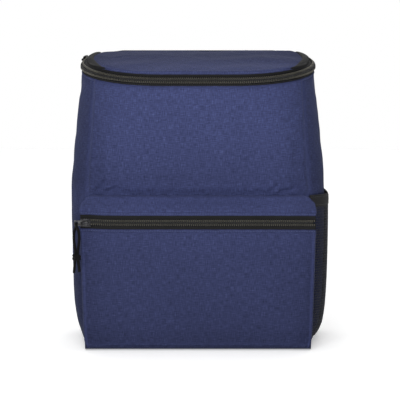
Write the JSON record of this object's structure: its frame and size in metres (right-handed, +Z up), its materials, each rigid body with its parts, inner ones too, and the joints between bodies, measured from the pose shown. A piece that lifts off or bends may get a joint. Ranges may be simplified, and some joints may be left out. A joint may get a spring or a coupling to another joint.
{
  "type": "insulated cooler backpack",
  "caption": "Soft insulated cooler backpack: foam-walled lined tub, hinged zip lid, zipped front pocket with a knotted cord pull, mesh side pocket and shoulder straps.",
  "frame": {"origin": "middle of the flat base of the main tub, on the surface that the bag stands on", "axes": "+Z up; -Y is the front, where the zipped pocket is; +X is to the right as seen from the front, the side with the mesh pocket"},
  "size_m": [0.3238, 0.218, 0.3662],
  "materials": {
    "shell_cloth": "heathered navy polyester canvas, PU backed, matt",
    "shell_cloth_side": "the same navy canvas",
    "black_cloth": "black polyester",
    "zip_tape": "black woven zip tape",
    "zip_coil": "black nylon coil",
    "foam": "closed-cell polyethylene foam",
    "liner": "silver-grey PEVA film, heat sealed",
    "base_board": "white polyethylene board",
    "mesh": "black knitted mesh",
    "elastic": "black folded binding over elastic",
    "slider_metal": "black lacquered zinc",
    "tab_metal": "bare die-cast metal",
    "cord": "black braided polyester cord",
    "webbing": "black polypropylene webbing",
    "strap_padding": "black spacer mesh over foam",
    "buckle": "black acetal"
  },
  "bodies": {
    "root": {"front_panel": "shell_cloth", "left_side_panel": "shell_cloth_side", "right_side_panel": "shell_cloth_side", "back_panel": "black_cloth", "base_panel": "black_cloth", "front_foam": "foam", "left_foam": "foam", "right_foam": "foam", "back_foam": "foam", "base_board": "base_board", "base_foam": "foam", "liner_tub": "liner", "main_zip_tape_lower": "zip_tape", "main_zip_coil_lower": "zip_coil", "lid_hinge_strip": "black_cloth", "pocket_zip_tape_upper": "zip_tape", "pocket_zip_coil_upper": "zip_coil", "pocket_top_band": "shell_cloth", "pocket_gusset_left": "shell_cloth_side", "pocket_gusset_right": "shell_cloth_side", "pocket_cheek_left": "shell_cloth_side", "pocket_cheek_right": "shell_cloth_side", "pocket_base_panel": "shell_cloth_side", "mesh_pocket_panel": "mesh", "mesh_pocket_binding": "elastic", "strap_yoke": "black_cloth", "strap_pad_left": "strap_padding", "ladder_lock_left": "buckle", "strap_stub_left": "webbing", "strap_webbing_left": "webbing", "anchor_tab_left": "black_cloth", "strap_pad_right": "strap_padding", "ladder_lock_right": "buckle", "strap_stub_right": "webbing", "strap_webbing_right": "webbing", "anchor_tab_right": "black_cloth"},
    "lid": {"lid_panel": "shell_cloth", "lid_foam": "foam", "lid_liner": "liner", "main_zip_tape_upper": "zip_tape", "main_zip_coil_upper": "zip_coil"},
    "pocket_front": {"pocket_front_panel": "shell_cloth", "pocket_zip_tape_lower": "zip_tape", "pocket_zip_coil_lower": "zip_coil"},
    "pocket_slider": {"pocket_slider": "slider_metal"},
    "pocket_pull": {"pocket_pull_tab": "tab_metal", "pocket_pull_cord": "cord"},
    "main_slider": {"main_slider": "slider_metal"},
    "main_pull": {"main_pull_tab": "tab_metal"},
    "haul_handle": {"haul_handle": "webbing"}
  },
  "joints": [
    {"name": "lid_hinge", "type": "hinge", "parent": "root", "child": "lid", "pos_m": [0, 0.07354, 0.35686], "axis": [-1, 0, 0], "range_deg": [0, 120]},
    {"name": "pocket_mouth", "type": "hinge", "parent": "root", "child": "pocket_front", "pos_m": [0, -0.1074, 0.0062], "axis": [1, 0, 0], "range_deg": [0, 14]},
    {"name": "pocket_slider_travel", "type": "slide", "parent": "pocket_front", "child": "pocket_slider", "axis": [1, 0, 0], "range_m": [0, 0.275]},
    {"name": "pocket_pull_swing", "type": "hinge", "parent": "pocket_slider", "child": "pocket_pull", "pos_m": [-0.1362, -0.11285, 0.15765], "axis": [0, 0, 1], "range_deg": [0, 150]},
    {"name": "main_slider_travel", "type": "hinge", "parent": "root", "child": "main_slider", "pos_m": [-0.0436, 0.02992, 0.34908], "axis": [0, -0.1754, 0.9845], "range_deg": [0, 103]},
    {"name": "main_pull_swing", "type": "hinge", "parent": "main_slider", "child": "main_pull", "pos_m": [-0.14906, 0.06022, 0.35448], "axis": [0, -0.1754, 0.9845], "range_deg": [0, 160]},
    {"name": "haul_handle_swing", "type": "hinge", "parent": "root", "child": "haul_handle", "pos_m": [0, 0.0806, 0.332], "axis": [1, 0, 0], "range_deg": [0, 130]}
  ]
}
